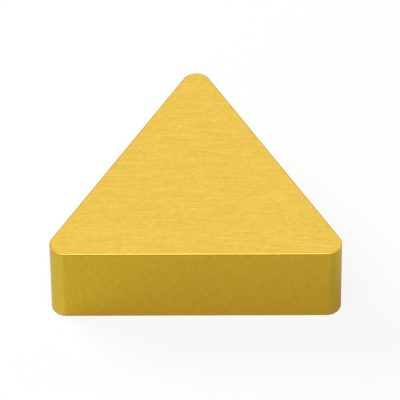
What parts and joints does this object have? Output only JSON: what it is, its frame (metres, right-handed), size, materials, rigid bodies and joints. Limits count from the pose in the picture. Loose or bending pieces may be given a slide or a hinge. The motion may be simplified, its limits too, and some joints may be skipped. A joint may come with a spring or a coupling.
{
  "type": "triangular indexable turning insert",
  "caption": "Flat triangular carbide cutting insert with rounded noses, square flanks, honed edges and a gold coating; clamped in a turning tool holder.",
  "frame": {"origin": "centre of the inscribed circle on the lower face, the face the insert seats on", "axes": "+Z square to both faces, from the lower face to the upper one; +Y towards one nose; -Y out of the flank opposite that nose; X along that flank"},
  "size_m": [0.0154, 0.0135, 0.0048],
  "materials": {
    "coated_carbide": "satin gold titanium nitride coating over ground carbide"
  },
  "bodies": {
    "root": {"insert_body": "coated_carbide"}
  },
  "joints": []
}
